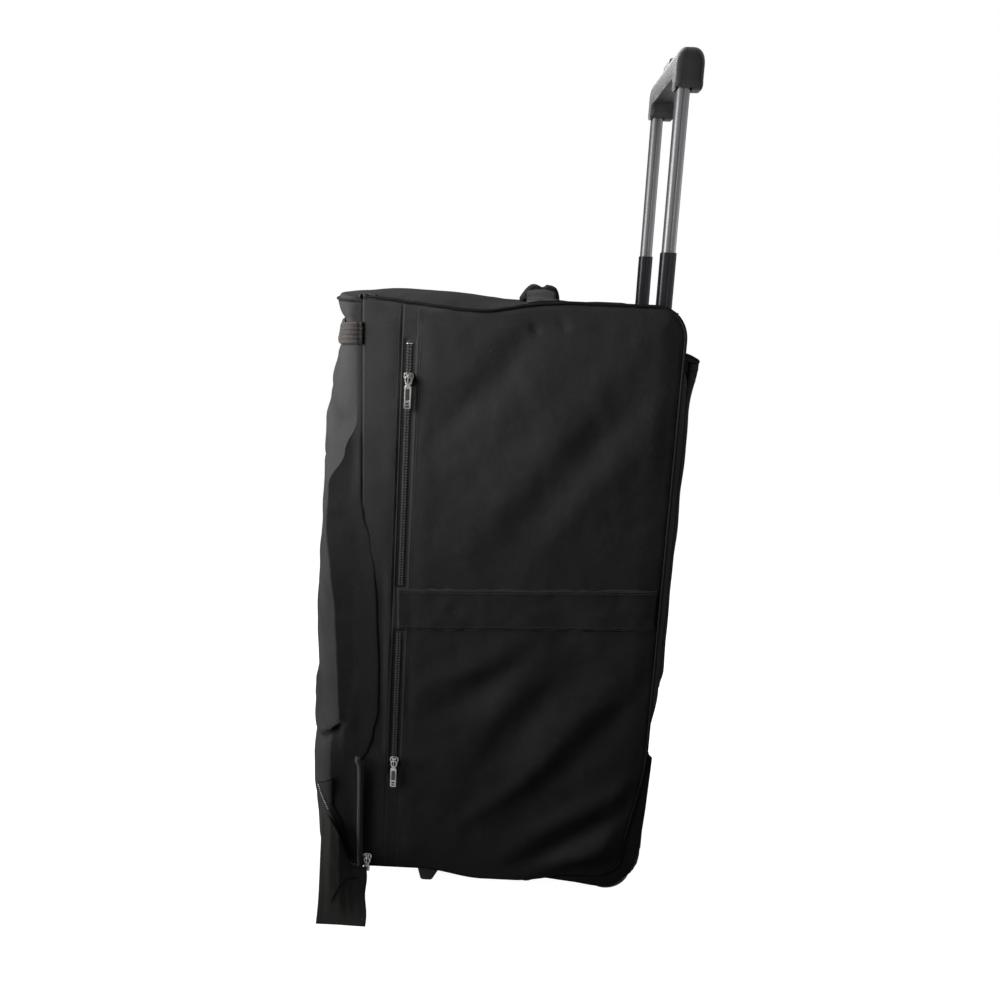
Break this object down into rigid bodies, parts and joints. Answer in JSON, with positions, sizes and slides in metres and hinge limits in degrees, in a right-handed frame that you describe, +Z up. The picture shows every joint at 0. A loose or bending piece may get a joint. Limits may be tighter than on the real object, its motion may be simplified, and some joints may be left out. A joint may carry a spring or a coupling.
{
  "type": "snowboard bag",
  "caption": "Upright wheeled fabric bag with a crowned zipped front lid, zipped side pockets, telescopic trolley handle, wheel guards and feet.",
  "frame": {"origin": "on the floor, under the middle of the bag's box", "axes": "+Z up, +X the side with the two zipped pockets, -Y the front lid, +Y the trolley and wheels"},
  "size_m": [0.5014, 0.5033, 1.1095],
  "materials": {
    "body_fabric": "fine dull woven polyester, soft folds",
    "lid_fabric": "the same polyester, slack and creased",
    "webbing": "ribbed grey webbing",
    "piping": "fabric piping over cord",
    "zip_tape": "woven zip tape with moulded coil teeth",
    "zip_metal": "bright nickel plate",
    "dark_tube": "dark anodised, brushed along its length",
    "grip_plastic": "fine moulded grain",
    "button_plastic": "smooth satin",
    "rod_steel": "zinc plated",
    "stiffener": "lining cloth over a stiff board",
    "trim_plastic": "moulded, lightly grained",
    "stud_metal": "worn plated steel",
    "hub_plastic": "moulded nylon",
    "tyre": "cast polyurethane, scuffed tread"
  },
  "bodies": {
    "root": {"side_panel_right": "body_fabric", "side_panel_left": "body_fabric", "top_panel": "body_fabric", "back_panel": "body_fabric", "base_panel": "body_fabric", "back_board": "stiffener", "base_board": "stiffener", "side_band_right": "body_fabric", "side_band_left": "body_fabric", "piping_right": "piping", "piping_left": "piping", "zip_tape_upper": "zip_tape", "zip_tape_lower": "zip_tape", "main_zip_tape": "zip_tape", "outer_tube_right": "dark_tube", "outer_tube_left": "dark_tube", "trolley_bezel": "trim_plastic", "tube_bracket": "trim_plastic", "back_sleeve": "body_fabric", "grab_handle_webbing": "webbing", "grab_handle_wrap": "body_fabric", "wheel_guard_right": "trim_plastic", "wheel_guard_left": "trim_plastic", "wheel_axle_right": "rod_steel", "wheel_axle_left": "rod_steel", "front_foot_right": "trim_plastic", "front_foot_left": "trim_plastic", "glide_stud_right": "stud_metal", "glide_stud_left": "stud_metal"},
    "lid": {"front_lid": "lid_fabric", "lid_flap_right": "lid_fabric", "lid_flap_left": "lid_fabric", "front_strap": "webbing"},
    "trolley_stage": {"middle_tube_right": "dark_tube", "middle_tube_left": "dark_tube"},
    "trolley_handle": {"inner_tube_right": "dark_tube", "inner_tube_left": "dark_tube", "grip_front_shell": "grip_plastic", "grip_back_shell": "grip_plastic"},
    "button": {"release_button": "button_plastic", "push_rod_right": "rod_steel", "push_rod_left": "rod_steel"},
    "wheel_right": {"wheel_tyre_right": "tyre", "wheel_hub_right": "hub_plastic", "outer_bearing_right": "rod_steel", "inner_bearing_right": "rod_steel"},
    "wheel_left": {"wheel_tyre_left": "tyre", "wheel_hub_left": "hub_plastic", "outer_bearing_left": "rod_steel", "inner_bearing_left": "rod_steel"},
    "upper_slider": {"upper_zip_slider": "zip_metal"},
    "upper_pull": {"upper_zip_pull": "zip_metal"},
    "lower_slider": {"lower_zip_slider": "zip_metal"},
    "lower_pull": {"lower_zip_pull": "zip_metal"},
    "main_slider": {"main_zip_slider": "zip_metal"},
    "main_pull": {"main_zip_pull": "zip_metal"}
  },
  "joints": [
    {"name": "lid_open", "type": "hinge", "parent": "root", "child": "lid", "pos_m": [0, -0.166, 0.806], "axis": [-1, 0, 0], "range_deg": [0, 100]},
    {"name": "stage_slide", "type": "slide", "parent": "root", "child": "trolley_stage", "axis": [0, 0, 1], "range_m": [-0.061, 0.126]},
    {"name": "handle_slide", "type": "slide", "parent": "trolley_stage", "child": "trolley_handle", "axis": [0, 0, 1], "range_m": [-0.186, 0]},
    {"name": "button_press", "type": "slide", "parent": "trolley_handle", "child": "button", "axis": [0, 0, -1], "range_m": [0, 0.004], "stiffness_N_per_m": 1200, "springref_m": -0.002},
    {"name": "wheel_right_spin", "type": "hinge", "parent": "root", "child": "wheel_right", "pos_m": [0.146, 0.175, 0.035], "axis": [1, 0, 0], "continuous": true},
    {"name": "wheel_left_spin", "type": "hinge", "parent": "root", "child": "wheel_left", "pos_m": [-0.146, 0.175, 0.035], "axis": [1, 0, 0], "continuous": true},
    {"name": "upper_zip_slide", "type": "slide", "parent": "root", "child": "upper_slider", "axis": [0, 0.0245, 0.9997], "range_m": [-0.25, 0.03]},
    {"name": "upper_pull_swing", "type": "hinge", "parent": "upper_slider", "child": "upper_pull", "pos_m": [0.1819, -0.11113, 0.716], "axis": [0, -0.9997, 0.0245], "range_deg": [0, 170]},
    {"name": "lower_zip_slide", "type": "slide", "parent": "root", "child": "lower_slider", "axis": [0, 0.0245, 0.9997], "range_m": [0, 0.165]},
    {"name": "lower_pull_swing", "type": "hinge", "parent": "lower_slider", "child": "lower_pull", "pos_m": [0.1819, -0.12368, 0.203], "axis": [0, -0.9997, 0.0245], "range_deg": [0, 170]},
    {"name": "main_zip_slide", "type": "slide", "parent": "root", "child": "main_slider", "axis": [0, 0, 1], "range_m": [0, 0.7]},
    {"name": "main_pull_swing", "type": "hinge", "parent": "main_slider", "child": "main_pull", "pos_m": [0.1819, -0.1597, 0.05], "axis": [0, -1, 0], "range_deg": [0, 170]}
  ]
}
